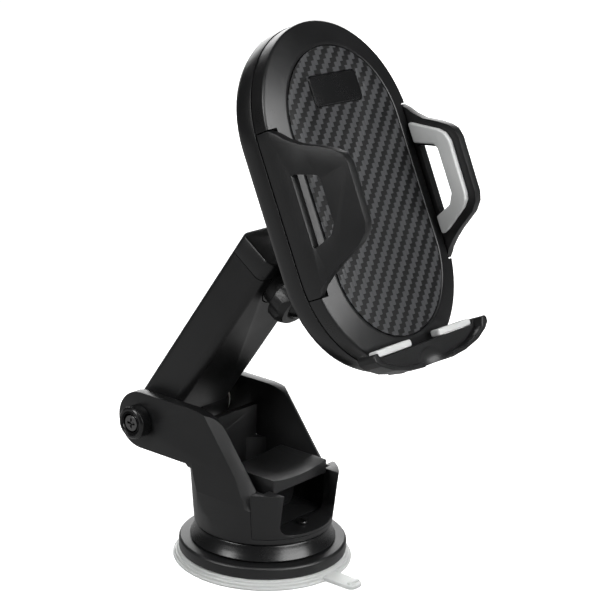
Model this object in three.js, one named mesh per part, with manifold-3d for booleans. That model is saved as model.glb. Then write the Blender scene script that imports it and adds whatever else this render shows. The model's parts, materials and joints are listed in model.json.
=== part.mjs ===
// Car phone mount: suction base, folding telescopic arm, ball joint and a one-hand phone cradle.
// Millimetres, +Z up, the phone faces -Y, the arm's hinge runs along X.
import * as THREE from 'three';
import { mergeVertices } from 'three/addons/utils/BufferGeometryUtils.js';
import Module from 'manifold-3d';

const wasm = await Module();
wasm.setup();

// Gaps
const FIT = 0.3;
const RUN = 0.05;

// Suction base
const CUP_R = 33;
const CUP_H = 3.2;
const CUP_HOLLOW = 1.8;
const CUP_RIM_IN = 26;
const DISC_R = 31;
const DISC_BOTTOM = 3.5;
const DISC_TOP = 8;
const NECK_TOP = 13.9;
const STEM_R = 3.2;
const STEM_FOOT_Z = 6.3;
const LEVER_PIN_Z = 25;

// Housing
const HOUSING_BOTTOM = 14.2;
const FLOOR_Z = 17.3;
const CHEEK_TOP = 33.8;
const EAR_IN = 18.7;
const EAR_OUT = 22.6;
const EAR_TOP = 58.4;
const OPENING_HALF = 15.5;
const SEAM_Y = -13.2;
const SCREW_X = 12.4;
const SCREW_Y = 2;
const COLLAR_SCREW_Y = -18.5;

// Arm hinge and arm
const PIVOT_Y = 41.7;
const PIVOT_Z = 47.7;
const HUB_R = 10.8;
const CAP_R = 6.1;
const CAP_OUT = 28;
const ARM_LEAN = THREE.MathUtils.degToRad(34.6);
const ARM_HALF = 16.5;
const ARM_BACK = 9.9;
const ARM_FRONT = 6.6;
const ARM_SEAM = 79.8;
const ARM_TOP = 88.1;
const BARREL_R = 9.2;

// Ball joint
const BALL_L = 75;
const BALL_OUT = 7.6;
const BALL_R = 7;
const NUT_R = 11;
const NECK_TILT = THREE.MathUtils.degToRad(3);

// Cradle
const CRADLE_TILT = THREE.MathUtils.degToRad(25.1);
const CRADLE_Y = -41.3;
const CRADLE_Z = 145.6;
const END_V = 22.9;
const RING_R = 37.4;
const REAR_R = 37.6;
const INLAY_R = 28;
const PART_Z = -7.8;
const BACK_Z = -18;
const WALL = 2.2;
const FOOT_TOP = -54.4;

// Grips and their drive
const GRIP_TOP = 26.3;
const GRIP_BOTTOM = -29.9;
const GRIP_IN = 34.2;
const GRIP_LEAN = 0.2246;
const BAR_LOW = -7.4;
const BAR_HIGH = -4.2;
const TEETH = 12;
const PITCH_R = 6;

const COLOURS = {
  abs: [0x1b1b1d, 0.55, 0],
  satin: [0x222225, 0.38, 0],
  gel: [0xc9ccca, 0.3, 0],
  pad: [0xb9bbbb, 0.7, 0],
  weave: [0x4a4b4d, 0.4, 0.1],
  steel: [0x9a9ca0, 0.3, 1],
  acetal: [0xdedcd4, 0.5, 0],
};

const root = new THREE.Group();
root.name = 'car_phone_mount';

function toSolid(geometry) {
  const g = geometry.clone();
  g.deleteAttribute('normal');
  g.deleteAttribute('uv');
  const m = mergeVertices(g.index ? g.toNonIndexed() : g, 1e-4);
  const mesh = new wasm.Mesh({
    numProp: 3,
    vertProperties: new Float32Array(m.attributes.position.array),
    triVerts: new Uint32Array(m.index.array),
  });
  mesh.merge();
  return new wasm.Manifold(mesh);
}

function toGeometry(solid) {
  const mesh = solid.getMesh();
  const g = new THREE.BufferGeometry();
  const points = new Float32Array(mesh.numVert * 3);
  for (let i = 0; i < mesh.numVert; i++) {
    for (let k = 0; k < 3; k++) points[3 * i + k] = mesh.vertProperties[mesh.numProp * i + k];
  }
  g.setAttribute('position', new THREE.BufferAttribute(points, 3));
  g.setIndex(new THREE.BufferAttribute(new Uint32Array(mesh.triVerts), 1));
  return g;
}

function place(solid, matrix) {
  return solid.transform(Array.from(matrix.elements));
}

function piece(name, solid, look, matrix) {
  const placed = matrix ? place(solid, matrix) : solid;
  const g = toGeometry(placed).toNonIndexed();
  g.computeVertexNormals();
  const [color, roughness, metalness] = COLOURS[look];
  const mesh = new THREE.Mesh(g, new THREE.MeshStandardMaterial({ color, roughness, metalness }));
  mesh.name = name;
  root.add(mesh);
}

// Two copies of one piece, on the -X and +X sides.
function pair(name, solid, look, matrix) {
  piece(`${name}_left`, solid, look, matrix);
  piece(`${name}_right`, mirrored(solid), look, matrix);
}

function unite(solids) {
  return solids.reduce((a, b) => a.add(b));
}

function box(x0, x1, y0, y1, z0, z1) {
  const g = new THREE.BoxGeometry(x1 - x0, y1 - y0, z1 - z0);
  g.translate((x0 + x1) / 2, (y0 + y1) / 2, (z0 + z1) / 2);
  return toSolid(g);
}

// A cylinder or cone along local Z from z0 (radius r0) to z1 (radius r1).
function rod(r0, r1, z0, z1, x = 0, y = 0, sides = 24) {
  const g = new THREE.CylinderGeometry(r1, r0, z1 - z0, sides);
  g.rotateX(Math.PI / 2);
  g.translate(x, y, (z0 + z1) / 2);
  return toSolid(g);
}

// A cylinder along X.
function axle(r, x0, x1, y, z, sides = 24) {
  const g = new THREE.CylinderGeometry(r, r, x1 - x0, sides);
  g.rotateZ(Math.PI / 2);
  g.translate((x0 + x1) / 2, y, z);
  return toSolid(g);
}

function turned(profile, sides = 48) {
  const points = profile.map(([r, z]) => new THREE.Vector2(r, z));
  const g = new THREE.LatheGeometry(points, sides);
  g.rotateX(Math.PI / 2);
  return toSolid(g);
}

function outline(points) {
  return new THREE.Shape(points.map(([a, b]) => new THREE.Vector2(a, b)));
}

function roundedRect(x0, x1, y0, y1, r) {
  const s = new THREE.Shape();
  s.moveTo(x0 + r, y0);
  s.lineTo(x1 - r, y0);
  s.absarc(x1 - r, y0 + r, r, -Math.PI / 2, 0);
  s.lineTo(x1, y1 - r);
  s.absarc(x1 - r, y1 - r, r, 0, Math.PI / 2);
  s.lineTo(x0 + r, y1);
  s.absarc(x0 + r, y1 - r, r, Math.PI / 2, Math.PI);
  s.lineTo(x0, y0 + r);
  s.absarc(x0 + r, y0 + r, r, Math.PI, 1.5 * Math.PI);
  return s;
}

function stadium(r) {
  const s = new THREE.Shape();
  s.absarc(0, END_V, r, 0, Math.PI);
  s.absarc(0, -END_V, r, Math.PI, 2 * Math.PI);
  return s;
}

function prism(shape, z0, z1, curve = 6) {
  const g = new THREE.ExtrudeGeometry(shape, { depth: z1 - z0, bevelEnabled: false, curveSegments: curve });
  g.translate(0, 0, z0);
  return toSolid(g);
}

// A slab whose rim rounds over by size sideways and thick in height at both faces.
function cushion(shape, z0, z1, size, thick, steps, curve) {
  const g = new THREE.ExtrudeGeometry(shape, {
    depth: z1 - z0 - 2 * thick,
    bevelEnabled: true,
    bevelSize: size,
    bevelThickness: thick,
    bevelSegments: steps,
    curveSegments: curve,
  });
  g.translate(0, 0, z0 + thick);
  return toSolid(g);
}

// A side profile given as (y, z) pairs, extruded along X.
function sideways(points, x0, x1) {
  const shape = outline(points);
  const g = new THREE.ExtrudeGeometry(shape, { depth: x1 - x0, bevelEnabled: false });
  const m = new THREE.Matrix4().makeBasis(
    new THREE.Vector3(0, 1, 0),
    new THREE.Vector3(0, 0, 1),
    new THREE.Vector3(1, 0, 0),
  );
  g.applyMatrix4(m);
  g.translate(x0, 0, 0);
  return toSolid(g);
}

// A plan profile given as (x, z) pairs, extruded along Y.
function flatwise(points, y0, y1) {
  const g = new THREE.ExtrudeGeometry(outline(points), { depth: y1 - y0, bevelEnabled: false });
  g.rotateX(Math.PI / 2);
  g.translate(0, y1, 0);
  return toSolid(g);
}

function arcPoints(cy, cz, r, from, to, steps) {
  const points = [];
  for (let i = 0; i <= steps; i++) {
    const a = from + ((to - from) * i) / steps;
    points.push([cy + r * Math.cos(a), cz + r * Math.sin(a)]);
  }
  return points;
}

function mirrored(solid) {
  return solid.mirror([1, 0, 0]);
}

function bothSides(solid) {
  return solid.add(mirrored(solid));
}

// Local frames: the arm (x, back normal, along the arm) and the cradle (x, up, out of the face).
const armFrame = new THREE.Matrix4().makeBasis(
  new THREE.Vector3(1, 0, 0),
  new THREE.Vector3(0, Math.cos(ARM_LEAN), Math.sin(ARM_LEAN)),
  new THREE.Vector3(0, -Math.sin(ARM_LEAN), Math.cos(ARM_LEAN)),
).setPosition(0, PIVOT_Y, PIVOT_Z);

const cradleFrame = new THREE.Matrix4().makeBasis(
  new THREE.Vector3(1, 0, 0),
  new THREE.Vector3(0, Math.sin(CRADLE_TILT), Math.cos(CRADLE_TILT)),
  new THREE.Vector3(0, -Math.cos(CRADLE_TILT), Math.sin(CRADLE_TILT)),
).setPosition(0, CRADLE_Y, CRADLE_Z);

const ballCentre = new THREE.Vector3(0, -ARM_FRONT - BALL_OUT, BALL_L).applyMatrix4(armFrame);

// The ball stem's frame: local Z runs from the ball to the cradle.
const neckDir = new THREE.Vector3(0, -Math.cos(NECK_TILT), Math.sin(NECK_TILT));
const neckFrame = new THREE.Matrix4().makeBasis(
  new THREE.Vector3(1, 0, 0),
  new THREE.Vector3().crossVectors(neckDir, new THREE.Vector3(1, 0, 0)),
  neckDir,
).setPosition(ballCentre);
const neckInCradle = cradleFrame.clone().invert().multiply(neckFrame);

// The socket's frame: local Z points out of the arm's front face, the ball at its origin.
const socketFrame = armFrame.clone().multiply(
  new THREE.Matrix4().makeBasis(
    new THREE.Vector3(1, 0, 0),
    new THREE.Vector3(0, 0, 1),
    new THREE.Vector3(0, -1, 0),
  ).setPosition(0, -ARM_FRONT - BALL_OUT, BALL_L),
);

function buildBase() {
  const tab = unite([
    box(-3.8, 3.8, -41.5, -CUP_R + 2, 0.6, 2),
    rod(3.8, 3.8, 0.6, 2, 0, -41.5, 24),
    box(-3.4, 3.4, -44.2, -42.4, 1.2, 2.7),
  ]);
  const cup = turned([
    [0, CUP_HOLLOW],
    [14, 1.5],
    [22, 0.7],
    [CUP_RIM_IN, 0],
    [CUP_R - 0.4, 0],
    [CUP_R, 0.5],
    [CUP_R - 0.3, 1.6],
    [DISC_R - 0.6, CUP_H],
    [9, CUP_H],
    [8, CUP_H + 0.4],
    [8, STEM_FOOT_Z - FIT],
    [0, STEM_FOOT_Z - FIT],
  ]);
  piece('suction_cup', cup.add(tab), 'gel');

  piece('base_disc', turned([
    [9.6, DISC_BOTTOM],
    [DISC_R - 0.3, DISC_BOTTOM],
    [DISC_R, DISC_BOTTOM + 0.3],
    [DISC_R, DISC_TOP - 0.7],
    [DISC_R - 0.7, DISC_TOP],
    [9.6, DISC_TOP],
    [9.6, DISC_BOTTOM],
  ]), 'abs');

  const neckBottom = DISC_TOP + FIT;
  piece('neck_ring', turned([
    [12, neckBottom],
    [29.4, neckBottom],
    [28.7, 8.9],
    [27.7, 9.8],
    [27.1, 11],
    [26.8, 12.2],
    [26.1, 13.4],
    [25, NECK_TOP],
    [12, NECK_TOP],
    [12, neckBottom],
  ]), 'satin');

  const eye = axle(4, -3.1, 3.1, 0, LEVER_PIN_Z, 24).add(box(-3.1, 3.1, -2.8, 2.8, 20, LEVER_PIN_Z));
  const stem = unite([
    rod(7, 7, STEM_FOOT_Z, STEM_FOOT_Z + 1.6),
    rod(STEM_R, STEM_R, STEM_FOOT_Z, 20.5, 0, 0, 24),
    eye,
  ]).subtract(axle(1.5 + RUN, -6, 6, 0, LEVER_PIN_Z, 24));
  piece('suction_stem', stem, 'acetal');
  piece('lever_pin', axle(1.5, -9.5, 9.5, 0, LEVER_PIN_Z, 24), 'steel');
}

function buildLever() {
  const profile = [
    [-16.8, 32.8],
    [-16.3, 32.3],
    [-8.5, 29.2],
    [-6.4, 26.5],
    [-5.6, 21.5],
    [-4.2, 18.4],
    [-2.4, 17.6],
    [0, 18],
    [1.8, 19.1],
    [3, 20.5],
    [4.2, 22.7],
    [4.7, 26],
    [5.4, 30],
    [6.2, 35],
    [5.6, 37.3],
    [4.4, 37.9],
    [-16.2, 37.9],
    [-16.8, 37.4],
  ];
  const dishR = 72;
  const dish = new THREE.CylinderGeometry(dishR, dishR, 40, 160);
  dish.translate(0, -2, 36.2 + dishR);
  const slot = unite([
    axle(4.5, -3.6, 3.6, 0, LEVER_PIN_Z, 32),
    box(-3.6, 3.6, -4.3, 9, 10, LEVER_PIN_Z),
    box(-3.6, 3.6, 0, 9, LEVER_PIN_Z - 1, LEVER_PIN_Z + 4),
  ]);
  const undercut = bothSides(box(9.8, 20, -7.4, 9, 10, 31.5));
  const lever = sideways(profile, -14.9, 14.9)
    .subtract(toSolid(dish))
    .subtract(slot)
    .subtract(undercut)
    .subtract(axle(1.5 + RUN, -20, 20, 0, LEVER_PIN_Z, 24));
  piece('suction_lever', lever, 'abs');
}

function buildHousing() {
  const barrel = turned([
    [0, HOUSING_BOTTOM],
    [25, HOUSING_BOTTOM],
    [25.5, HOUSING_BOTTOM + 0.5],
    [26.1, 21],
    [26.8, 29],
    [27.6, 36.9],
    [27.6, 60],
    [0, 60],
  ], 56);
  const slope = [
    [-12.2, CHEEK_TOP],
    [-7.5, 39.6],
    [2.6, 52.4],
    [4.6, 54.6],
    [7.4, 56.6],
    [11.5, 57.9],
    [15.5, EAR_TOP],
  ];
  const slopeDown = slope.slice().reverse();
  const under = sideways([[-30, 10], [60, 10], [60, EAR_TOP], ...slopeDown, [-30, CHEEK_TOP]], -28, 28);
  const hub = arcPoints(PIVOT_Y, PIVOT_Z, HUB_R, -Math.PI / 2, Math.PI / 2, 18);
  const earLow = PIVOT_Z - HUB_R;
  const earSide = [[0, earLow - 1], [17.5, earLow - 1], [18.5, earLow], ...hub, ...slopeDown.slice(0, 6)];
  const ears = sideways(earSide, -EAR_OUT, EAR_OUT);
  const backCut = box(-30, 30, 20, 60, 36.9, 70).subtract(box(-EAR_OUT, EAR_OUT, 0, 70, 0, 80));
  const draftRight = [[27, 10], [26.4, 19], [24.2, 28], [EAR_OUT, 38], [EAR_OUT, 62]];
  const draftLeft = draftRight.map(([x, z]) => [-x, z]).reverse();
  const draft = new THREE.ExtrudeGeometry(outline([...draftRight, ...draftLeft]), {
    depth: 110,
    bevelEnabled: false,
  });
  draft.rotateX(Math.PI / 2);
  draft.translate(0, 70, 0);
  const backWall = box(-EAR_IN - 1, EAR_IN + 1, 20.4, 23.2, 34, 49);
  let body = barrel.intersect(under).add(ears).subtract(backCut).intersect(toSolid(draft));

  const dir = new THREE.Vector3(0, 10.1, 12.8).normalize();
  const across = new THREE.Vector3(1, 0, 0);
  const out = new THREE.Vector3().crossVectors(across, dir).negate();
  const strip = new THREE.ExtrudeGeometry(outline([[0, 0], [12, 9], [12, -10.8]]), {
    depth: 60,
    bevelEnabled: false,
  });
  strip.applyMatrix4(new THREE.Matrix4().makeBasis(across, out, dir));
  const chamfer = toSolid(strip);
  const start = new THREE.Vector3(EAR_IN + 0.2, -7.5, 39.6).addScaledVector(dir, -20);
  const cut = place(chamfer, new THREE.Matrix4().makeTranslation(start.x, start.y, start.z));
  const rearCorners = box(-30, 30, 8, 22, 0, 36.9).subtract(rod(24.2, 24.2, -1, 50, 0, 0, 56));
  const trough = box(-EAR_IN, EAR_IN, -15.4, 20.4, FLOOR_Z, 80)
    .add(box(-EAR_IN, EAR_IN, 15, 70, 36.9 - 1.2, 80))
    .subtract(rearCorners)
    .subtract(backWall)
    .add(box(-EAR_IN, EAR_IN, 24.5, 70, 10, 80));
  const mouth = new THREE.ExtrudeGeometry(
    roundedRect(-OPENING_HALF, OPENING_HALF, 17.7, 60, 4),
    { depth: 20, bevelEnabled: false, curveSegments: 4 },
  );
  mouth.rotateX(Math.PI / 2);
  mouth.translate(0, -12, 0);
  body = body.subtract(trough).subtract(toSolid(mouth));
  body = body.subtract(rod(STEM_R + 0.4, STEM_R + 0.4, 10, 30, 0, 0, 24));
  body = body.subtract(axle(2.2, -40, 40, PIVOT_Y, PIVOT_Z, 32));

  const seamCut = box(-40, 40, -40, SEAM_Y, 16.4, 60);
  const collar = body.intersect(box(-40, 40, -40, SEAM_Y - 0.12, 16.52, 60))
    .subtract(rod(1.1, 1.1, 10, 30, 0, COLLAR_SCREW_Y, 12));
  let shell = body.subtract(bothSides(cut)).subtract(seamCut);
  for (const x of [-SCREW_X, SCREW_X]) shell = shell.subtract(rod(1.3, 1.3, 10, 20, x, SCREW_Y, 12));
  shell = shell.subtract(rod(1.1, 1.1, 10, 30, 0, COLLAR_SCREW_Y, 12));
  piece('housing', shell, 'abs');
  piece('front_collar', collar, 'abs');

  const screw = rod(2.1, 2.1, FLOOR_Z + 0.3, FLOOR_Z + 1.2, -SCREW_X, SCREW_Y, 12)
    .add(rod(1, 1, HOUSING_BOTTOM + 0.3, FLOOR_Z + 0.4, -SCREW_X, SCREW_Y, 12));
  pair('floor_screw', screw, 'steel');
  const collarScrew = rod(1.9, 1.9, 18, 18.8, 0, COLLAR_SCREW_Y, 16)
    .add(rod(0.8, 0.8, HOUSING_BOTTOM + 0.6, 18.2, 0, COLLAR_SCREW_Y, 12));
  piece('collar_screw', collarScrew, 'steel');
}

function buildHinge() {
  const start = EAR_OUT + FIT;
  const cap = turned([
    [2.3, start],
    [CAP_R, start],
    [CAP_R, CAP_OUT - 0.9],
    [CAP_R - 0.7, CAP_OUT - 0.2],
    [CAP_R - 1.4, CAP_OUT - 0.2],
    [CAP_R - 1.8, CAP_OUT - 0.9],
    [CAP_R - 2.2, CAP_OUT - 0.2],
    [CAP_R - 2.5, CAP_OUT - 1.2],
    [3.4, CAP_OUT - 3.2],
    [2.3, CAP_OUT - 3.2],
    [2.3, start],
  ], 24);
  const toLeft = new THREE.Matrix4().makeRotationY(-Math.PI / 2).setPosition(0, PIVOT_Y, PIVOT_Z);
  pair('hinge_cap', place(cap, toLeft), 'satin');

  const bolt = unite([
    axle(2, -25, 25.1, PIVOT_Y, PIVOT_Z, 32),
    axle(3, -27.4, -25.3, PIVOT_Y, PIVOT_Z, 24),
    axle(2, -25.4, -24.9, PIVOT_Y, PIVOT_Z, 32),
  ]).subtract(box(-28, -26.3, PIVOT_Y - 1.9, PIVOT_Y + 1.9, PIVOT_Z - 0.4, PIVOT_Z + 0.4))
    .subtract(box(-28, -26.3, PIVOT_Y - 0.4, PIVOT_Y + 0.4, PIVOT_Z - 1.9, PIVOT_Z + 1.9));
  piece('hinge_bolt', bolt, 'steel');
  const nut = axle(3, 25.5, 27.4, PIVOT_Y, PIVOT_Z, 6).subtract(axle(2.05, 20, 30, PIVOT_Y, PIVOT_Z, 32));
  piece('hinge_nut', nut, 'steel');
  const washer = axle(8.2, ARM_HALF + 0.3, EAR_IN - 0.3, PIVOT_Y, PIVOT_Z, 28)
    .subtract(axle(2.2, 0, 30, PIVOT_Y, PIVOT_Z, 32));
  pair('friction_washer', mirrored(washer), 'acetal');
}

function buildArm() {
  const section = roundedRect(-ARM_HALF, ARM_HALF, -ARM_FRONT, ARM_BACK, 3);
  let shell = prism(section, 0, ARM_SEAM, 5).add(axle(BARREL_R, -ARM_HALF, ARM_HALF, 0, 0, 30));
  shell = shell.subtract(prism(roundedRect(-13.6, 13.6, -4.4, 7.1, 1.2), 14, 90, 3));
  const notch = rod(9.9, 9.9, 0, 20, 0, 0, 36).add(box(-9.9, 9.9, 0, 30, 0, 16));
  const toFront = new THREE.Matrix4().makeBasis(
    new THREE.Vector3(1, 0, 0),
    new THREE.Vector3(0, 0, 1),
    new THREE.Vector3(0, -1, 0),
  ).setPosition(0, 0, BALL_L);
  shell = shell.subtract(place(notch, toFront));
  shell = shell.subtract(axle(2.1, -30, 30, 0, 0, 32));
  piece('arm_shell', shell, 'abs', armFrame);

  let bar = prism(roundedRect(-13.3, 13.3, -4.1, 6.8, 1), 18, ARM_SEAM, 3);
  bar = bar.subtract(prism(roundedRect(-11.3, 11.3, -2.1, 4.8, 0.8), 10, 62, 3));
  for (let i = 0; i < 9; i++) bar = bar.subtract(box(-7, 7, 6.2, 8, 24 + 5 * i, 25.6 + 5 * i));
  bar = bar.subtract(bothSides(rod(1.05, 1.05, 66, 90, 4.1, 4.2, 12)));
  piece('inner_bar', bar, 'abs', armFrame);

  const capSection = roundedRect(-ARM_HALF + 0.8, ARM_HALF - 0.8, -ARM_FRONT + 0.8, ARM_BACK - 0.8, 2.2);
  const cap = cushion(capSection, 60, ARM_TOP, 0.8, 0.8, 2, 5)
    .intersect(box(-30, 30, -20, 20, ARM_SEAM + FIT, 100));
  const tongue = box(-9.4, 9.4, -ARM_FRONT, -4.4, BALL_L, ARM_SEAM + 1).add(
    place(rod(9.4, 9.4, 4.4, ARM_FRONT, 0, 0, 36), toFront),
  );
  const collar = place(rod(8.7, 8.7, 4.4, ARM_FRONT + 8.8, 0, 0, 36), toFront);
  const bore = place(rod(7.35, 7.35, ARM_FRONT - 1, 30, 0, 0, 36), toFront);
  const screwPath = bothSides(rod(1.1, 1.1, 60, 95, 4.1, 4.2, 12))
    .add(bothSides(rod(1.9, 1.9, ARM_TOP - 2, 95, 4.1, 4.2, 12)));
  piece('arm_head', unite([cap, tongue, collar]).subtract(bore).subtract(screwPath), 'abs', armFrame);
  const headScrew = rod(1.7, 1.7, ARM_TOP - 1.7, ARM_TOP - 0.7, -4.1, 4.2, 12)
    .add(rod(0.8, 0.8, 70, ARM_TOP - 1.6, -4.1, 4.2, 12));
  pair('head_screw', headScrew, 'steel', armFrame);
}

function buildBall() {
  const sphere = (r) => toSolid(new THREE.SphereGeometry(r, 28, 16));
  const seat = rod(7.2, 7.2, -BALL_OUT - 0.6, -1.6, 0, 0, 36).subtract(sphere(BALL_R + 0.08));
  piece('ball_seat', seat, 'acetal', socketFrame);

  const lobes = new THREE.Shape();
  const count = 8;
  for (let i = 0; i < count * 4; i++) {
    const a = (2 * Math.PI * i) / (count * 4);
    const r = NUT_R - (i % 4 === 2 ? 1 : i % 4 === 0 ? 0 : 0.25);
    const p = [r * Math.cos(a), r * Math.sin(a)];
    if (i === 0) lobes.moveTo(...p);
    else lobes.lineTo(...p);
  }
  lobes.closePath();
  const nutBack = 4.2 - BALL_OUT;
  const nutFront = 3.3;
  const taper = turned([
    [0, nutBack],
    [NUT_R - 0.6, nutBack],
    [NUT_R + 0.2, nutBack + 0.8],
    [NUT_R + 0.2, 0.6],
    [9.2, nutFront],
    [0, nutFront],
  ], 48);
  const nut = prism(lobes, nutBack, nutFront)
    .intersect(taper)
    .subtract(rod(8.95, 8.95, -10, 1.5, 0, 0, 36))
    .subtract(sphere(BALL_R + 0.1))
    .subtract(rod(6.1, 8.2, nutFront - 0.9, nutFront + 1.2, 0, 0, 36));
  piece('ball_nut', nut, 'abs', socketFrame);

  const stem = unite([
    sphere(BALL_R),
    rod(3, 3.4, 5.4, 10.5, 0, 0, 32),
    rod(3.4, 5.5, 10.5, 12.9, 0, 0, 32),
    rod(10, 10.6, 12.9, 15, 0, 0, 30),
    rod(3.6, 3.6, 14, 22, 0, 0, 32),
  ]).subtract(rod(1.25, 1.25, 12, 40, 0, 0, 12));
  piece('ball_stem', stem, 'satin', neckFrame);
}

function buildCradle() {
  const outer = cushion(stadium(REAR_R - 8), BACK_Z, -BACK_Z, 8, 4.6, 3, 16)
    .intersect(box(-60, 60, -90, 90, -40, PART_Z - 0.1));
  const cavity = cushion(stadium(REAR_R - 8 - WALL), BACK_Z + WALL, -BACK_Z - WALL, 8, 4.4, 2, 12);
  const boss = place(rod(11, 16.5, 15.3, 38, 0, 0, 30), neckInCradle)
    .intersect(box(-60, 60, -90, 90, -60, BACK_Z + 4));
  const bossBore = place(rod(3.7, 3.7, 10, 24, 0, 0, 32), neckInCradle);
  const posts = [[20, 44], [-20, 44], [20, -44], [-20, -44]];
  const screwBore = rod(1.4, 1.4, 10, 30, 0, 0, 12).add(rod(3, 3, 26.6, 40, 0, 0, 16));
  let rear = outer.add(boss).subtract(cavity).subtract(bossBore);
  rear = rear.subtract(place(screwBore, neckInCradle));
  rear = rear.subtract(box(-13.4, 13.4, -70, -52, -12.3, -9.1));
  rear = rear.subtract(box(20, 60, 30.6, 39.4, -11.9, -8.9));
  for (const [x, y] of posts) {
    rear = rear.subtract(rod(1.4, 1.4, -30, -10, x, y, 12)).subtract(rod(3, 3, -30, BACK_Z + 1.2, x, y, 16));
  }
  piece('rear_shell', rear, 'abs', cradleFrame);

  let front = cushion(stadium(RING_R - 7.6), -30, 0, 7.6, 2.4, 3, 16)
    .intersect(box(-60, 60, -90, 90, PART_Z + 0.2, 5));
  front = front.subtract(prism(stadium(RING_R - WALL), PART_Z - 5, -3.4, 14));
  front = front.subtract(prism(stadium(INLAY_R), -1.1, 3, 16));
  const window = box(33.6, 60, GRIP_BOTTOM - 0.4, GRIP_TOP + 0.4, -20, 5);
  front = front.subtract(bothSides(window));
  for (const [x, y] of posts) {
    front = front.add(rod(2.8, 2.8, -14.6, -3, x, y, 16)).subtract(rod(1.1, 1.1, -20, -5, x, y, 12));
  }
  front = front.add(rod(2.4, 2.4, -9.6, -3, 0, 0, 32)).subtract(rod(0.95, 0.95, -20, -4.4, 0, 0, 12));
  piece('front_shell', front, 'abs', cradleFrame);

  const labelHole = prism(roundedRect(-12.9, 12.9, 30.3, 41.3, 2), -5, 5, 4);
  const inlay = prism(stadium(INLAY_R - 0.25), -0.9, -0.15, 16).subtract(labelHole);
  piece('carbon_inlay', inlay, 'weave', cradleFrame);
  const label = cushion(roundedRect(-12.3, 12.3, 30.9, 40.7, 1.4), -0.9, 0.1, 0.3, 0.3, 1, 4);
  piece('label_pad', label, 'satin', cradleFrame);

  for (const [name, y] of [['upper', 44], ['lower', -44]]) {
    const screw = rod(2.6, 2.6, BACK_Z + 0.1, BACK_Z + 0.9, -20, y, 16)
      .add(rod(0.8, 0.8, BACK_Z + 0.5, -6, -20, y, 12));
    pair(`cradle_screw_${name}`, screw, 'steel', cradleFrame);
  }
  const stemScrew = rod(0.95, 0.95, 15.5, 27, 0, 0, 12).add(rod(2.6, 2.6, 26.9, 28.5, 0, 0, 16));
  piece('ball_stem_screw', stemScrew, 'steel', neckFrame);
}

const TOOTH = (2 * Math.PI * PITCH_R) / TEETH;

function rackBar(x0, x1, teethFrom, teethTo) {
  const points = [[x0, 12], [x0, 7.1]];
  for (let n = Math.ceil(teethFrom / TOOTH - 0.5); (n + 0.5) * TOOTH <= teethTo; n++) {
    const c = (n + 0.5) * TOOTH;
    points.push([c - 0.86, 7.1], [c - 0.26, 5.25], [c + 0.26, 5.25], [c + 0.86, 7.1]);
  }
  points.push([x1, 7.1], [x1, 12]);
  return prism(outline(points), BAR_LOW, BAR_HIGH);
}

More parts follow.
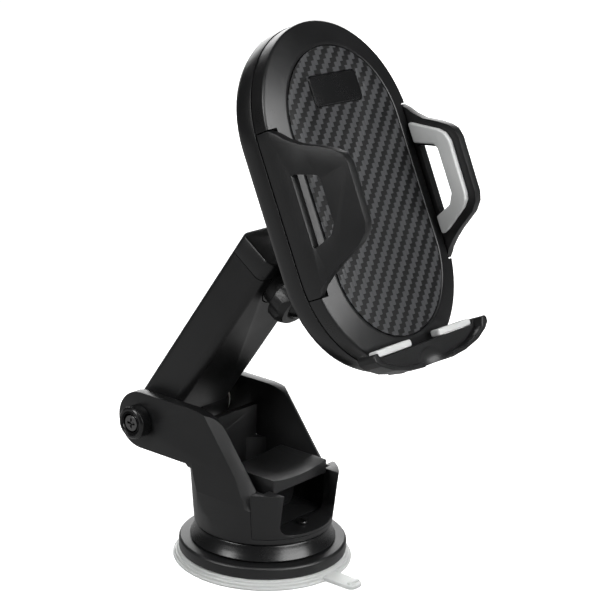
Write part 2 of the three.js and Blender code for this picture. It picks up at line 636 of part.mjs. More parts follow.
// The left grip (on -X); the right one is the same turned half a turn for its bars, mirrored for its blade.
function buildGrips() {
  const blade = [
    [GRIP_TOP, -3.6],
    [GRIP_TOP, -2.3],
    [24.2, 0.4],
    [21.8, 2.8],
    [18.8, 7],
    [16, 13.6],
    [13.6, 18],
    [11.4, 20.5],
    [8.2, 21.5],
    [-11.4, 21.2],
    [-14.4, 20],
    [-17.4, 16.8],
    [-21.6, 8],
    [-24.3, 3.4],
    [-27, -0.2],
    [GRIP_BOTTOM, -2.4],
    [GRIP_BOTTOM, -3.6],
  ];
  const slot = [
    [10.2, 1.1],
    [10.3, 2.4],
    [7.9, 9.6],
    [6.6, 10.6],
    [-8.6, 10.6],
    [-11.9, 8.4],
    [-14.4, 1.8],
    [-13.9, 0.9],
  ];
  const thick = RING_R - GRIP_IN;
  const lean = new THREE.Matrix4().set(
    1, 0, GRIP_LEAN, 2.3 * GRIP_LEAN,
    0, 1, 0, 0,
    0, 0, 1, 0,
    0, 0, 0, 1,
  );
  const upright = sideways(blade, -RING_R, -GRIP_IN).subtract(sideways(slot, -60, -10));
  const skewed = place(upright, lean);
  const rootWall = box(-RING_R, -GRIP_IN, GRIP_BOTTOM, GRIP_TOP, -7.4, -2.6);
  const sweep = prism(stadium(RING_R), -20, 30, 16);
  const shellOf = (bars) => skewed.add(rootWall).intersect(sweep).add(bars);

  const plainBar = box(-GRIP_IN - 1, -9, -22, -17, BAR_LOW, BAR_HIGH);
  const leftBars = rackBar(-GRIP_IN - 1, 18.5, -4, 18.4).add(plainBar);
  const turn = new THREE.Matrix4().makeRotationZ(Math.PI);
  const rightBars = place(leftBars, turn);
  piece('grip_left', shellOf(leftBars), 'abs', cradleFrame);
  const rightShell = mirrored(skewed.add(rootWall).intersect(sweep));
  piece('grip_right', rightShell.add(rightBars), 'abs', cradleFrame);

  const padOutline = [
    [19.4, 0.6],
    [16.3, 7.4],
    [13.4, 14],
    [11.2, 17],
    [8.2, 18.3],
    [-10.8, 18],
    [-13, 17.2],
    [-15.2, 14.8],
    [-20.6, 4],
    [-21.6, 0.6],
    [-15, 0.6],
    [-12.6, 8.8],
    [-9, 11.4],
    [7, 11.4],
    [8.8, 10.2],
    [11.8, 0.6],
  ];
  const pad = place(sideways(padOutline, -GRIP_IN + 0.05, -GRIP_IN + 2.4), lean);
  piece('grip_pad_left', pad, 'pad', cradleFrame);
  piece('grip_pad_right', mirrored(pad), 'pad', cradleFrame);

  const flank = [[-0.22, 4.9], [-0.14, 5.9], [-0.055, 6.75], [0.055, 6.75], [0.14, 5.9], [0.22, 4.9]];
  const gear = [];
  const step = (2 * Math.PI) / TEETH;
  for (let i = 0; i < TEETH; i++) {
    const a = Math.PI / 2 + i * step;
    for (const [da, r] of flank) gear.push([r * Math.cos(a + da), r * Math.sin(a + da)]);
  }
  const ratchet = [];
  for (let i = 0; i < 24; i++) {
    const a = (2 * Math.PI * i) / 24;
    ratchet.push([7.4 * Math.cos(a), 7.4 * Math.sin(a)]);
    ratchet.push([6.5 * Math.cos(a + 0.05), 6.5 * Math.sin(a + 0.05)]);
  }
  const pinion = prism(outline(gear), BAR_LOW, BAR_HIGH)
    .add(rod(4.2, 4.2, -9.4, BAR_LOW + 0.5, 0, 0, 24))
    .add(prism(outline(ratchet), -10.6, -9.2))
    .subtract(rod(2.45, 2.45, -9.65, -3, 0, 0, 32))
    .subtract(rod(1.3, 1.3, -20, -3, 0, 0, 24));
  piece('pinion', pinion, 'acetal', cradleFrame);
  const axleScrew = rod(3, 3, -12.1, -10.9, 0, 0, 24).add(rod(0.9, 0.9, -11.5, -5, 0, 0, 12));
  piece('pinion_screw', axleScrew, 'steel', cradleFrame);

  const frameShape = outline([
    [-12, -9.5],
    [9.8, -9.5],
    [9.8, 9],
    [6, 14],
    [6, 31],
    [33, 31],
    [33, 39],
    [-2, 39],
    [-12, 31],
  ]);
  const hole = new THREE.Path();
  hole.absarc(0, 0, 7.9, 0, 2 * Math.PI, true);
  frameShape.holes.push(hole);
  const window = prism(frameShape, -10.4, -9.3, 16)
    .subtract(box(0, 9, -7.9, 7.9, -12, -8))
    .subtract(box(-3, 3, -8.3, 8.3, -12, -8));
  const pawl = box(-8.2, -7.65, -0.6, 0.6, -10.4, -9.3);
  const cap = cushion(roundedRect(27, 37.2, 31.4, 38.6, 0.6), -11.5, -9.3, 0.4, 0.4, 1, 2);
  piece('release_slider', window.add(pawl).add(cap), 'satin', cradleFrame);
}

function buildFoot() {
  const bothHalves = (half) => {
    const other = half.slice(1, -1).reverse().map(([x, v]) => [-x, v]);
    return outline([...half, ...other]);
  };
  const under = [
    [0, -62.3],
    [7, -62.2],
    [15.6, -61.4],
    [24.1, -59.5],
    [29.7, -56.9],
    [31.9, -55],
    [32.2, -53.4],
    [31.4, -52.4],
  ];
  const lip = bothHalves([...under, [29, -52.4], [21.8, -56.9], [16, -58.8], [0, -59.3]]);
  const shelf = bothHalves([...under, [29.4, -52.4], [27.2, FOOT_TOP], [0, FOOT_TOP]]);
  let foot = prism(shelf, 0.6, 4.9, 4).add(prism(lip, 0.6, 8, 4));
  const bevelSide = [[-59.2, 8.6], [-70, 8.6], [-70, -3], [-61.9, -1.5], [-61.6, 2], [-60.9, 5]];
  foot = foot.subtract(sideways(bevelSide, -60, 60));
  const tray = unite([
    flatwise([[-17, 1.2], [17, 1.2], [15, -4], [13, -8], [13, -12], [-13, -12], [-13, -8], [-15, -4]],
      -62.2, -60.9),
    box(-13, 13, -61.5, -24, -12, -9.4),
  ]);
  const scoop = new THREE.SphereGeometry(1, 24, 16);
  scoop.scale(8.4, 6.1, 7.2);
  scoop.translate(0, -60.7, 8.9);
  foot = foot.add(tray).subtract(toSolid(scoop));
  for (let i = 0; i < 6; i++) foot = foot.subtract(box(8, 11, -32 - 3 * i, -30.6 - 3 * i, -20, -11.3));
  piece('foot', foot, 'abs', cradleFrame);
  const pad = prism(roundedRect(7.8, 26.4, FOOT_TOP + 0.3, FOOT_TOP + 2.5, 0.5), 1, 5.2, 2);
  pair('foot_pad', mirrored(pad), 'pad', cradleFrame);
}

buildBase();
buildLever();
buildHousing();
buildHinge();
buildArm();
buildBall();
buildCradle();
buildGrips();
buildFoot();

export default root;
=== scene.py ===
"""Car phone mount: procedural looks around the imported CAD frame. Metres, +Z up, the phone faces -Y."""

import json
import math

import bmesh
import bpy
from mathutils import Matrix, Vector


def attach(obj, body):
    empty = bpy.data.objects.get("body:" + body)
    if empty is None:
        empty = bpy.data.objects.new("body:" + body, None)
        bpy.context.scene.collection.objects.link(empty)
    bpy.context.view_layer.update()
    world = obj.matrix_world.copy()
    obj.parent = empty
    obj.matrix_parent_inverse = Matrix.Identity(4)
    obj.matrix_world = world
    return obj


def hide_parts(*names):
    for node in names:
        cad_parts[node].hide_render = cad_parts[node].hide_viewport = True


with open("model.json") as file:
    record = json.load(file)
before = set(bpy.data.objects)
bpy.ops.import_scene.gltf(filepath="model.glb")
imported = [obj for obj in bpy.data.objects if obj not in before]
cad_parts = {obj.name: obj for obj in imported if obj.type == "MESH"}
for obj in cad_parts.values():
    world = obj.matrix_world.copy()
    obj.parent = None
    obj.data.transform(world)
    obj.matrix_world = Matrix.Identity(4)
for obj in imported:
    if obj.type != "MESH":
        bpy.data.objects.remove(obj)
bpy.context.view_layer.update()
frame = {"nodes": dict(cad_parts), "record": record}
NODES = frame["nodes"]
MM = 0.001

# ---------------------------------------------------------------- the tilted cradle's own axes
TILT = math.radians(25.1)
CRADLE = Vector((0, -41.3, 145.6)) * MM
RIGHT = Vector((1, 0, 0))
UP = Vector((0, math.sin(TILT), math.cos(TILT)))
OUT = Vector((0, -math.cos(TILT), math.sin(TILT)))


def basis(x, y, z, origin):
    """The matrix whose columns are the three axes and the origin."""
    m = Matrix((x, y, z)).transposed().to_4x4()
    m.translation = origin
    return m


ROW = Matrix.Diagonal((MM, MM, MM, 1))
CRADLE_ROW = basis(RIGHT, UP, OUT, CRADLE) @ ROW


# ---------------------------------------------------------------- node helpers
class Graph:
    """A material's node tree, with short calls for its nodes and links."""

    def __init__(self, name):
        self.material = bpy.data.materials.new(name)
        self.material.use_nodes = True
        self.tree = self.material.node_tree
        self.shader = self.tree.nodes["Principled BSDF"]

    def node(self, kind, **settings):
        made = self.tree.nodes.new(kind)
        for key, value in settings.items():
            setattr(made, key, value)
        return made

    def put(self, value, socket):
        if isinstance(value, bpy.types.NodeSocket):
            self.tree.links.new(value, socket)
        else:
            socket.default_value = value

    def math(self, operation, a, b=0.0, clamp=False):
        made = self.node("ShaderNodeMath", operation=operation, use_clamp=clamp)
        self.put(a, made.inputs[0])
        self.put(b, made.inputs[1])
        return made.outputs[0]

    def place(self):
        return self.node("ShaderNodeTexCoord").outputs["Object"]

    def along(self, direction, origin):
        """The distance in metres along direction from origin."""
        made = self.node("ShaderNodeVectorMath", operation="DOT_PRODUCT")
        self.put(self.place(), made.inputs[0])
        made.inputs[1].default_value = direction
        return self.math("SUBTRACT", made.outputs["Value"], direction.dot(origin))

    def noise(self, scale, detail=2.0, roughness=0.5):
        made = self.node("ShaderNodeTexNoise")
        self.put(self.place(), made.inputs["Vector"])
        made.inputs["Scale"].default_value = scale
        made.inputs["Detail"].default_value = detail
        made.inputs["Roughness"].default_value = roughness
        return made.outputs["Fac"]

    def range(self, value, a, b, c, d):
        made = self.node("ShaderNodeMapRange")
        self.put(value, made.inputs["Value"])
        for socket, number in zip(("From Min", "From Max", "To Min", "To Max"), (a, b, c, d)):
            made.inputs[socket].default_value = number
        return made.outputs["Result"]

    def blend(self, factor, a, b):
        made = self.node("ShaderNodeMix", data_type="RGBA")
        self.put(factor, made.inputs["Factor"])
        self.put(a, made.inputs["A"])
        self.put(b, made.inputs["B"])
        return made.outputs["Result"]

    def bump(self, height, distance, strength=1.0, under=None):
        made = self.node("ShaderNodeBump")
        self.put(height, made.inputs["Height"])
        made.inputs["Distance"].default_value = distance
        made.inputs["Strength"].default_value = strength
        if under is not None:
            self.put(under, made.inputs["Normal"])
        return made.outputs["Normal"]

    def edge(self, radius):
        """1 on outer edges, 0 on open faces."""
        bevel = self.node("ShaderNodeBevel", samples=4)
        bevel.inputs["Radius"].default_value = radius
        flat = self.node("ShaderNodeNewGeometry").outputs["Normal"]
        dot = self.node("ShaderNodeVectorMath", operation="DOT_PRODUCT")
        self.put(bevel.outputs["Normal"], dot.inputs[0])
        self.put(flat, dot.inputs[1])
        return self.range(dot.outputs["Value"], 0.995, 0.9, 0.0, 1.0)

    def set(self, **values):
        for key, value in values.items():
            self.put(value, self.shader.inputs[key.replace("_", " ")])


def grey(value, tint=(1.0, 1.0, 1.0)):
    return (value * tint[0], value * tint[1], value * tint[2], 1.0)


COOL = (0.97, 0.99, 1.04)


def moulded(name, dark, light, rough, grain, grain_size):
    """Moulded black plastic: spark-eroded grain, uneven gloss, and outer edges painted lighter: partly a
    painted edge highlight, partly faint rubbed wear.
    """
    g = Graph(name)
    cloud = g.noise(60, 3)
    fine = g.noise(grain_size, 2, 0.65)
    # Outer edges painted lighter and glossier: partly a painted edge highlight, partly faint rubbed wear,
    # broken up by noise.
    edge_highlight_and_wear = g.math("MULTIPLY", g.edge(0.4 * MM), g.range(g.noise(420, 3), 0.42, 0.62, 0.15, 1.0), True)
    base = g.blend(cloud, grey(dark, COOL), grey(light, COOL))
    g.set(Base_Color=g.blend(g.math("MULTIPLY", edge_highlight_and_wear, 0.45), base, grey(light * 2.3, COOL)))
    gloss = g.range(g.math("ADD", g.math("MULTIPLY", cloud, 0.6), g.math("MULTIPLY", fine, 0.4)),
                    0.3, 0.7, rough - 0.05, rough + 0.07)
    g.set(Roughness=g.math("SUBTRACT", gloss, g.math("MULTIPLY", edge_highlight_and_wear, 0.08)))
    g.set(Normal=g.bump(fine, grain))
    g.set(IOR=1.5)
    return g.material


def weave_material():
    """A 2/2 twill of flat tows under a satin film, ruled in the cradle's own plane."""
    g = Graph("carbon_weave")
    tow = 1.65 * MM
    across = g.math("DIVIDE", g.along(RIGHT, CRADLE), tow)
    upward = g.math("DIVIDE", g.along(UP, CRADLE), tow)
    column = g.math("FLOOR", across)
    row = g.math("FLOOR", upward)
    step = g.math("FLOORED_MODULO", g.math("SUBTRACT", column, row), 4.0)
    warp = g.math("LESS_THAN", step, 1.5)

    def crown(coordinate):
        part = g.math("SUBTRACT", g.math("FRACT", coordinate), 0.5)
        return g.math("SUBTRACT", 1.0, g.math("MULTIPLY", g.math("MULTIPLY", part, part), 4.0))

    mix = g.node("ShaderNodeMix", data_type="FLOAT")
    g.put(warp, mix.inputs["Factor"])
    g.put(crown(upward), mix.inputs["A"])
    g.put(crown(across), mix.inputs["B"])
    height = mix.outputs["Result"]
    stretched = g.node("ShaderNodeMapping")
    g.put(g.place(), stretched.inputs["Vector"])
    stretched.inputs["Scale"].default_value = (9000, 900, 900)
    strands = g.node("ShaderNodeTexNoise")
    g.put(stretched.outputs["Vector"], strands.inputs["Vector"])
    strands.inputs["Scale"].default_value = 1.0
    shade = g.math("MULTIPLY", g.range(height, 0.0, 1.0, 0.72, 1.0),
                   g.range(strands.outputs["Fac"], 0.3, 0.7, 0.86, 1.12))
    light = g.blend(shade, grey(0.010), grey(0.058, COOL))
    dark = g.blend(shade, grey(0.002), grey(0.004, COOL))
    g.set(Base_Color=g.blend(warp, dark, light))
    g.set(Roughness=g.range(warp, 0.0, 1.0, 0.5, 0.4))
    g.set(Normal=g.bump(height, 0.05 * MM, under=g.bump(g.noise(5200, 2), 0.004 * MM)))
    g.set(IOR=1.5, Specular_IOR_Level=0.3, Coat_Weight=0.05, Coat_Roughness=0.3)
    return g.material


def gel_material():
    """Soft clear gel: milky in the thick parts, with faint flow marks and a dusty film."""
    g = Graph("clear_gel")
    cloud = g.noise(70, 3)
    film = g.noise(330, 3)
    g.set(Base_Color=g.blend(cloud, (0.66, 0.675, 0.665, 1), (0.78, 0.79, 0.78, 1)))
    g.set(Roughness=g.range(film, 0.3, 0.7, 0.28, 0.42))
    g.set(Normal=g.bump(g.noise(160, 2), 0.05 * MM))
    g.set(Transmission_Weight=0.45, IOR=1.41, Subsurface_Weight=0.5, Subsurface_Scale=0.003)
    g.set(Subsurface_Radius=(1.0, 1.0, 0.95))
    return g.material


def rubber_material():
    """Soft grey rubber with a matt, faintly dusty skin."""
    g = Graph("grey_rubber")
    cloud = g.noise(110, 3)
    fine = g.noise(4200, 2, 0.6)
    g.set(Base_Color=g.blend(cloud, (0.50, 0.51, 0.505, 1), (0.60, 0.605, 0.60, 1)))
    g.set(Roughness=g.range(g.math("ADD", g.math("MULTIPLY", cloud, 0.5), g.math("MULTIPLY", fine, 0.5)),
                            0.3, 0.7, 0.42, 0.6))
    g.set(Normal=g.bump(fine, 0.02 * MM))
    g.set(IOR=1.45, Sheen_Weight=0.15, Sheen_Roughness=0.5)
    return g.material


def steel_material():
    """Dark oiled steel with fine brushed streaks."""
    g = Graph("steel")
    streak = g.node("ShaderNodeMapping")
    g.put(g.place(), streak.inputs["Vector"])
    streak.inputs["Scale"].default_value = (600, 600, 5200)
    brushed = g.node("ShaderNodeTexNoise")
    g.put(streak.outputs["Vector"], brushed.inputs["Vector"])
    brushed.inputs["Scale"].default_value = 1.0
    line = brushed.outputs["Fac"]
    g.set(Base_Color=g.blend(line, grey(0.10), grey(0.2)))
    g.set(Roughness=g.range(line, 0.3, 0.7, 0.26, 0.42))
    g.set(Normal=g.bump(line, 0.01 * MM))
    g.set(Metallic=1.0)
    return g.material


def acetal_material():
    """Milky white acetal with an uneven satin gloss."""
    g = Graph("acetal")
    cloud = g.noise(140, 3)
    g.set(Base_Color=g.blend(cloud, (0.70, 0.69, 0.64, 1), (0.80, 0.79, 0.75, 1)))
    g.set(Roughness=g.range(cloud, 0.3, 0.7, 0.36, 0.5))
    g.set(Normal=g.bump(g.noise(2600, 2), 0.01 * MM))
    g.set(IOR=1.48)
    return g.material


MATERIALS = {
    "black_abs": moulded("black_abs", 0.006, 0.009, 0.38, 0.03 * MM, 3600),
    "satin_black": moulded("satin_black", 0.005, 0.007, 0.25, 0.008 * MM, 5200),
    "shell_black": moulded("shell_black", 0.006, 0.009, 0.31, 0.022 * MM, 3600),
    "carbon_weave": weave_material(),
    "clear_gel": gel_material(),
    "grey_rubber": rubber_material(),
    "steel": steel_material(),
    "acetal": acetal_material(),
}
SHELL_NODES = ("front_shell", "rear_shell")
SLOT_OF = {row["node"]: row["material_slot"] for row in frame["record"]["subparts"]}


# ---------------------------------------------------------------- carried-over CAD nodes
SHARP = math.radians(32)


def soft_shading():
    """A modifier group that shades smooth, except across edges sharper than its angle."""
    tree = bpy.data.node_groups.new("smooth_by_angle", "GeometryNodeTree")
    tree.interface.new_socket("Geometry", in_out="INPUT", socket_type="NodeSocketGeometry")
    tree.interface.new_socket("Geometry", in_out="OUTPUT", socket_type="NodeSocketGeometry")
    start = tree.nodes.new("NodeGroupInput")
    end = tree.nodes.new("NodeGroupOutput")
    angle = tree.nodes.new("GeometryNodeInputMeshEdgeAngle")
    sharp = tree.nodes.new("FunctionNodeCompare")
    sharp.operation = "LESS_THAN"
    sharp.inputs["B"].default_value = SHARP
    faces = tree.nodes.new("GeometryNodeSetShadeSmooth")
    edges = tree.nodes.new("GeometryNodeSetShadeSmooth")
    edges.domain = "EDGE"
    tree.links.new(start.outputs[0], faces.inputs["Geometry"])
    tree.links.new(faces.outputs[0], edges.inputs["Geometry"])
    tree.links.new(angle.outputs["Unsigned Angle"], sharp.inputs["A"])
    tree.links.new(sharp.outputs[0], edges.inputs["Shade Smooth"])
    tree.links.new(edges.outputs[0], end.inputs[0])
    return tree


SMOOTH = soft_shading()
DEFAULT_EDGE = 0.12
EDGE_RADIUS = {
    "housing": 0.45, "front_collar": 0.3, "arm_shell": 0.35, "arm_head": 0.3, "suction_lever": 0.5,
    "grip_left": 0.4, "grip_right": 0.4, "foot": 0.35, "base_disc": 0.3, "neck_ring": 0.2,
    "front_shell": 0.25, "rear_shell": 0.25, "ball_nut": 0.3, "label_pad": 0.1, "carbon_inlay": 0.08,
}


def finish_node(obj, radius):
    """Joined vertices, rounded edges and smooth shading on a mesh, by modifiers alone."""
    weld = obj.modifiers.new("weld", "WELD")
    weld.merge_threshold = 0.004 * MM
    if radius:
        bevel = obj.modifiers.new("round", "BEVEL")
        bevel.width = radius * MM
        bevel.segments = 3
        bevel.limit_method = "ANGLE"
        bevel.angle_limit = SHARP
        bevel.miter_outer = "MITER_ARC"
        bevel.use_clamp_overlap = True
        bevel.harden_normals = False
    shade = obj.modifiers.new("shade", "NODES")
    shade.node_group = SMOOTH


for name, obj in NODES.items():
    obj.data.materials.clear()
    obj.data.materials.append(MATERIALS["shell_black" if name in SHELL_NODES else SLOT_OF[name]])
    finish_node(obj, EDGE_RADIUS.get(name, DEFAULT_EDGE))


# ---------------------------------------------------------------- pieces built here
def linked(name, data):
    """A new object for the data, in the scene."""
    obj = bpy.data.objects.new(name, data)
    bpy.context.scene.collection.objects.link(obj)
    return obj


def from_bmesh(name, mesh):
    """A new object from a bmesh; the bmesh goes."""
    data = bpy.data.meshes.new(name)
    mesh.to_mesh(data)
    mesh.free()
    return linked(name, data)


def to_mesh(curve, name):
    """The curve's evaluated mesh as a new object; the curve goes."""
    bpy.context.view_layer.update()
    made = bpy.data.meshes.new_from_object(curve.evaluated_get(bpy.context.evaluated_depsgraph_get()))
    data = curve.data
    bpy.data.objects.remove(curve)
    bpy.data.curves.remove(data)
    return linked(name, made)


LEAST_REACH = 0.2


def filleted(points, radius, steps=5):
    """A closed outline with its corners rounded, in millimetres.

    Nearly straight corners keep a least reach, so that their points do not coincide.
    """
    made = []
    count = len(points)
    for i in range(count):
        here = Vector(points[i])
        before = Vector(points[i - 1]) - here
        after = Vector(points[(i + 1) % count]) - here
        corner = radius[i] if isinstance(radius, (list, tuple)) else radius
        turn = before.angle(after)
        reach = corner / math.tan(turn / 2)
        if corner:
            reach = max(reach, LEAST_REACH)
        reach = min(reach, before.length * 0.48, after.length * 0.48)
        p0 = here + before.normalized() * reach
        p1 = here + after.normalized() * reach
        for k in range(steps + 1):
            t = k / steps
            made.append(p0 * (1 - t) ** 2 + here * (2 * t * (1 - t)) + p1 * t * t)
    return made


def slab(name, outlines, low, high, edge, steps=4):
    """A closed slab between low and high with all its rims rounded by edge, in millimetres."""
    data = bpy.data.curves.new(name, "CURVE")
    data.dimensions = "2D"
    data.fill_mode = "BOTH"
    for loop in outlines:
        spline = data.splines.new("POLY")
        spline.points.add(len(loop) - 1)
        for point, (a, b) in zip(spline.points, loop):
            point.co = (a, b, 0, 1)
        spline.use_cyclic_u = True
    data.extrude = (high - low) / 2 - edge
    data.bevel_depth = edge
    data.bevel_resolution = steps
    data.offset = -edge
    obj = to_mesh(linked(name, data), name)
    for vertex in obj.data.vertices:
        vertex.co.z += (low + high) / 2
    return obj


def joined_ends(obj, distance=1e-4):
    """Joins vertices that coincide and turns all faces outward."""
    mesh = bmesh.new()
    mesh.from_mesh(obj.data)
    bmesh.ops.remove_doubles(mesh, verts=mesh.verts, dist=distance)
    bmesh.ops.recalc_face_normals(mesh, faces=mesh.faces)
    mesh.to_mesh(obj.data)
    mesh.free()


def stand_for(obj, node, to_frame):
    """Puts a piece made in millimetres into the row frame, in place of a CAD node."""
    joined_ends(obj)
    obj.data.transform(to_frame)
    if to_frame.determinant() < 0:
        obj.data.flip_normals()
    obj.data.materials.clear()
    obj.data.materials.append(MATERIALS[SLOT_OF[node]])
    shade = obj.modifiers.new("shade", "NODES")
    shade.node_group = SMOOTH
    body = next(b for b, members in frame["record"]["behaviour"]["bodies"].items() if node in members)
    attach(obj, body)
    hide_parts(node)


def merged(parts, name, operation="UNION"):
    """One closed mesh from the first part and the ones added to it or cut from it."""
    first = parts[0]
    for other in parts[1:]:
        cut = first.modifiers.new("join", "BOOLEAN")
        cut.operation = operation
        cut.solver = "MANIFOLD"
        cut.object = other
    bpy.context.view_layer.update()
    made = bpy.data.meshes.new_from_object(first.evaluated_get(bpy.context.evaluated_depsgraph_get()))
    for part in parts:
        data = part.data
        bpy.data.objects.remove(part)
        bpy.data.meshes.remove(data)
    return linked(name, made)


def lathe(name, profile, turns):
    """A closed turned solid from (radius, height) points that start and end on the axis."""
    mesh = bmesh.new()
    rings = []
    for r, z in profile:
        if r < 1e-6:
            rings.append([mesh.verts.new((0, 0, z))])
        else:
            ring = []
            for k in range(turns):
                a = 2 * math.pi * k / turns
                ring.append(mesh.verts.new((r * math.cos(a), r * math.sin(a), z)))
            rings.append(ring)
    for low, high in zip(rings, rings[1:]):
        for k in range(turns):
            n = (k + 1) % turns
            corners = [low[k % len(low)], low[n % len(low)], high[n % len(high)], high[k % len(high)]]
            mesh.faces.new(list(dict.fromkeys(corners)))
    obj = from_bmesh(name, mesh)
    joined_ends(obj)
    return obj


def open_fillet(points, radius, steps=4):
    """A profile with its inner corners rounded and its two ends kept, in millimetres."""
    made = [Vector(points[0])]
    for i in range(1, len(points) - 1):
        here = Vector(points[i])
        before = Vector(points[i - 1]) - here
        after = Vector(points[i + 1]) - here
        reach = min(radius, before.length * 0.45, after.length * 0.45)
        p0 = here + before.normalized() * reach
        p1 = here + after.normalized() * reach
        for k in range(steps + 1):
            t = k / steps
            made.append(p0 * (1 - t) ** 2 + here * (2 * t * (1 - t)) + p1 * t * t)
    made.append(Vector(points[-1]))
    return [tuple(p) for p in made]


# Suction cup: a stepped soft disc with a pull tab toward -Y.
CUP = [(0, 1.8), (14, 1.5), (22, 0.7), (26, 0.0), (32.5, 0.0), (33.1, 0.5), (33.0, 1.0), (32.3, 1.15),
       (32.25, 2.05), (31.6, 2.2), (31.5, 3.0), (31.0, 3.3), (9.4, 3.3), (8, 3.65), (0, 3.65)]
cup_disc = lathe("cup_disc", open_fillet(CUP, 0.22), 160)
strip = filleted([(-3.9, -30.5), (3.9, -30.5), (3.6, -45.2), (-3.6, -45.2)], [0.4, 0.4, 3.2, 3.2], 8)
tab = slab("tab", [strip], 0.45, 2.0, 0.42)
nib = filleted([(-2.9, -43.6), (2.9, -43.6), (2.9, -42.0), (-2.9, -42.0)], 0.7)
ridge = slab("ridge", [nib], 1.4, 2.75, 0.38)
for part in (tab, ridge):
    joined_ends(part)
stand_for(merged([cup_disc, tab, ridge], "gel_cup"), "suction_cup", ROW)

# Neck: the glossy wall between the disc and the housing.
NECK = [(0, 8.3), (26.2, 8.3), (27.0, 8.6), (26.5, 9.5), (25.8, 10.8), (25.1, 12.4), (24.6, 13.9), (0, 13.9)]
NECK_BORE = [(0, 7), (12, 7), (12, 15), (0, 15)]
wall = lathe("wall", open_fillet(NECK, 0.5, 6), 160)
neck = merged([wall, lathe("bore", NECK_BORE, 96)], "neck", "DIFFERENCE")
stand_for(neck, "neck_ring", ROW)


STADIUM_HALF = 22.9


def stadium(radius, steps=40):
    """The cradle's outline: half circles above and below the middle, in millimetres."""
    made = []
    for end, start in ((STADIUM_HALF, 0.0), (-STADIUM_HALF, math.pi)):
        for k in range(steps + 1):
            a = start + math.pi * k / steps
            made.append((radius * math.cos(a), end + radius * math.sin(a)))
    return made


def loft(name, profile):
    """A closed ring whose (radius, height) profile runs round the stadium."""
    mesh = bmesh.new()
    rows = [[mesh.verts.new((a, b, z)) for a, b in stadium(r)] for r, z in profile]
    for low, high in zip(rows, rows[1:] + rows[:1]):
        for k in range(len(low)):
            n = (k + 1) % len(low)
            mesh.faces.new((low[k], low[n], high[n], high[k]))
    obj = from_bmesh(name, mesh)
    joined_ends(obj)
    return obj


def block(name, low, high):
    """A box from its low corner to its high corner."""
    mesh = bmesh.new()
    bmesh.ops.create_cube(mesh, size=1.0)
    for vertex in mesh.verts:
        vertex.co = [a + (b - a) * (c + 0.5) for a, b, c in zip(low, high, vertex.co)]
    return from_bmesh(name, mesh)


# Front shell: a bevelled ring round the inlay, open at both sides for the grips.
RING = [(6, -1.1), (28.05, -1.1), (28.05, -0.3), (28.4, 0), (29.2, 0), (36.75, -1.95), (37.25, -2.25),
        (37.4, -2.7), (37.4, -7.6), (35.2, -7.6), (35.2, -3.4), (6, -3.4)]
ring = merged([loft("ring", filleted(RING, [0, 0, 0.2, 0.3, 0.9, 0.3, 0.3, 0.3, 0.15, 0.1, 0.5, 0], 3)),
               block("window_left", (-60, -30.3, -20), (-33.6, 26.7, 5)),
               block("window_right", (33.6, -30.3, -20), (60, 26.7, 5))], "ring_shell", "DIFFERENCE")
stand_for(ring, "front_shell", CRADLE_ROW)
ring.data.materials[0] = MATERIALS["shell_black"]


GRIP_LEAN = 0.2246


def side_frame(side):
    """Carries (up, out, inward x) millimetres of a grip to the row frame; side is -1 for left."""
    across = Vector((-side, 0, 0)) * MM
    return basis(UP * MM, OUT * MM + across * GRIP_LEAN, across, CRADLE + across * GRIP_LEAN * 2.3)


PAD = [(19.4, 0.6), (16.3, 7.4), (13.4, 14), (11.2, 17), (8.2, 18.3), (-10.8, 18), (-13, 17.2), (-15.2, 14.8),
       (-20.6, 4), (-21.6, 0.6), (-15, 0.6), (-12.6, 8.8), (-9, 11.4), (7, 11.4), (8.8, 10.2), (11.8, 0.6)]
for side, word in ((-1, "left"), (1, "right")):
    stand_for(slab(f"pad_{word}", [filleted(PAD, 1.0)], -34.15, -31.8, 0.7), f"grip_pad_{word}",
              side_frame(side))
    tread = filleted([(7.8, 1.0), (26.4, 1.0), (26.4, 5.2), (7.8, 5.2)], 1.0)
    flat = basis(Vector((side, 0, 0)) * MM, OUT * MM, UP * MM, CRADLE)
    stand_for(slab(f"tread_{word}", [tread], -54.1, -51.8, 0.6), f"foot_pad_{word}", flat)


# Foot: a shallow tray whose thin rim turns up at both ends, with a dished front and a tongue at the back.
UNDER = [(0, -62.3), (7, -62.2), (15.6, -61.4), (24.1, -59.5), (29.7, -56.9), (31.9, -55), (32.2, -53.4),
         (31.4, -52.4)]
SHELF = UNDER + [(29.4, -52.4), (27.2, -54.4), (0, -54.4)]
RIM = UNDER + [(29.6, -52.5), (28.0, -55.6), (22.6, -58.2), (15.2, -60), (0, -60.9)]


def both_halves(half):
    """A closed outline from its right half, which starts and ends on the middle line."""
    return half + [(-x, v) for x, v in reversed(half[1:-1])]


DISH_HALF = (8.4, 6.1, 7.2)
DISH_CENTRE = (0, -60.7, 8.9)
BALL_STEPS = 24
arc = [math.pi * k / BALL_STEPS for k in range(BALL_STEPS + 1)]
dish = lathe("dish", [(math.sin(a), -math.cos(a)) for a in arc], 64)
dish.data.transform(Matrix.Translation(DISH_CENTRE) @ Matrix.Diagonal((*DISH_HALF, 1)))
shelf = slab("shelf", [filleted(both_halves(SHELF), 0.6)], 0.6, 4.2, 0.3)
rim = slab("rim", [filleted(both_halves(RIM), 0.6)], 0.6, 8, 0.45)
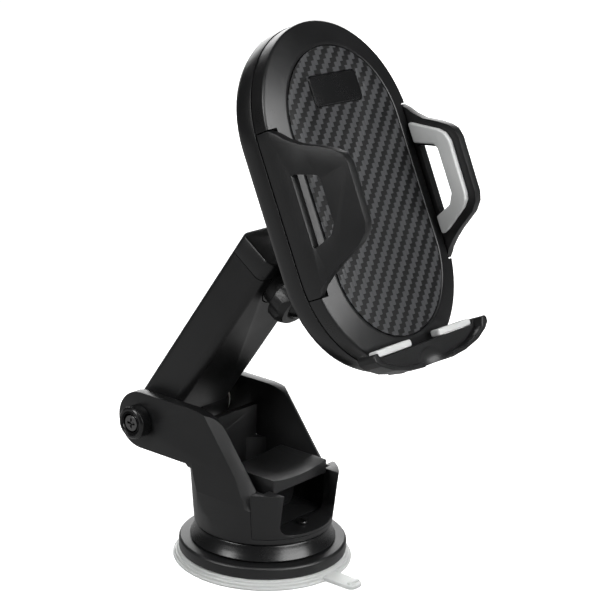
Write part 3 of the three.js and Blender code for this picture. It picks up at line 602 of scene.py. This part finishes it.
# The strap runs back under the shells, in (x, out) with its flat side down.
strap = slab("drop", [[(-13, 1.4), (-4, -12), (4, -12), (13, 1.4)]], -0.45, 0.45, 0.05, 0)
strap.data.transform(basis(RIGHT, Vector((0, 0, 1)), Vector((0, -1, 0)), Vector((0, -61.45, 0))))
for part in (shelf, rim, strap):
    joined_ends(part)
tray = merged([shelf, rim, strap, block("stalk", (-4, -61.8, -12), (4, -50, -9.4)),
               block("tongue", (-13, -57, -12), (13, -24, -9.4))], "tray")
NOTCH_PITCH = 3
notches = []
for i in range(6):
    top = -30.6 - NOTCH_PITCH * i
    notches.append(block(f"notch_{i}", (8, top - 1.4, -20), (11, top, -11.3)))
foot = merged([tray, dish] + notches, "foot_tray", "DIFFERENCE")
stand_for(foot, "foot", CRADLE_ROW)


# ---------------------------------------------------------------- stage, lights, camera
WATTS_PER_GLOW = 4


def area(name, place, target, size, glow):
    """A soft light of size metres at place; glow is its brightness per area."""
    data = bpy.data.lights.new(name, "AREA")
    data.shape = "RECTANGLE"
    data.size, data.size_y = size
    data.energy = glow * WATTS_PER_GLOW * size[0] * size[1]
    obj = linked(name, data)
    obj.location = place
    obj.rotation_euler = (Vector(target) - Vector(place)).to_track_quat("-Z", "Y").to_euler()
    obj.visible_camera = False


def sweep():
    """A pale floor that curves up into a backdrop all round the object."""
    floor, bend, top, turns = 2.2, 0.9, 3.5, 96
    just_under = 0.00002
    line = []
    for k in range(13):
        a = math.pi / 2 * k / 12
        line.append((floor + bend * math.sin(a), bend - bend * math.cos(a) - just_under))
    line.append((floor + bend, top - just_under))
    mesh = bmesh.new()
    angles = [2 * math.pi * k / turns for k in range(turns)]
    rows = [[mesh.verts.new((r * math.cos(a), r * math.sin(a), z)) for a in angles] for r, z in line]
    mesh.faces.new(rows[0])
    for low, high in zip(rows, rows[1:]):
        for k in range(turns):
            n = (k + 1) % turns
            mesh.faces.new((low[k], low[n], high[n], high[k])).smooth = True
    obj = from_bmesh("sweep", mesh)
    obj.visible_glossy = False
    obj.visible_diffuse = False
    g = Graph("paper")
    g.set(Base_Color=g.blend(g.noise(8, 2), grey(0.86), grey(0.88)))
    g.set(Roughness=g.range(g.noise(40, 2), 0.3, 0.7, 0.85, 0.95))
    g.set(Emission_Color=grey(1.0), Emission_Strength=0.95)
    obj.data.materials.append(g.material)


MIDDLE = Vector((0, 0, 0.1))


def softbox(name, bearing, height, away, size, glow):
    """A softbox at a bearing and an elevation in degrees, away metres from the middle."""
    a, e = math.radians(bearing), math.radians(height)
    place = MIDDLE + away * Vector((math.cos(e) * math.cos(a), math.cos(e) * math.sin(a), math.sin(e)))
    area(name, place, MIDDLE, size, glow)


sweep()
CAMERA_BEARING = 219
# name, bearing from the camera, elevation, distance, size, glow
for name, turn, height, away, size, glow in (
    ("key_left", -56, 34, 1.1, (0.4, 0.6), 7.5),
    ("key_right", 54, 28, 1.1, (0.85, 0.75), 5.6),
    ("overhead", 4, 58, 1.1, (0.45, 0.35), 3.2),
    ("backdrop_glow", -176, 15, 1.3, (1.1, 0.8), 2.5),
):
    softbox(name, CAMERA_BEARING + turn, height, away, size, glow)
area("table_glow", Vector((0, 0, -0.01)), Vector((0, 0, 1)), (1.6, 1.6), 0.3)

world = bpy.data.worlds.new("studio")
bpy.context.scene.world = world
world.use_nodes = True
background = world.node_tree.nodes["Background"]
background.inputs["Color"].default_value = grey(1.0)
background.inputs["Strength"].default_value = 0.05

# The camera fitted to the photo's outline: its right, up and back axes, then its place.
camera = bpy.data.cameras.new("camera")
camera.sensor_width = 36.0
camera.lens = 111.431
camera.clip_start = 0.05
eye = linked("camera", camera)
eye.matrix_world = basis(
    Vector((0.63615501, -0.77084199, 0.03330814)),
    Vector((0.19815377, 0.20494801, 0.95850477)),
    Vector((-0.74568216, -0.60315748, 0.28312395)),
    Vector((-0.486749, -0.407565, 0.285890)),
)
bpy.context.scene.camera = eye
bpy.context.scene.view_settings.view_transform = "Standard"
bpy.context.scene.view_settings.look = "None"
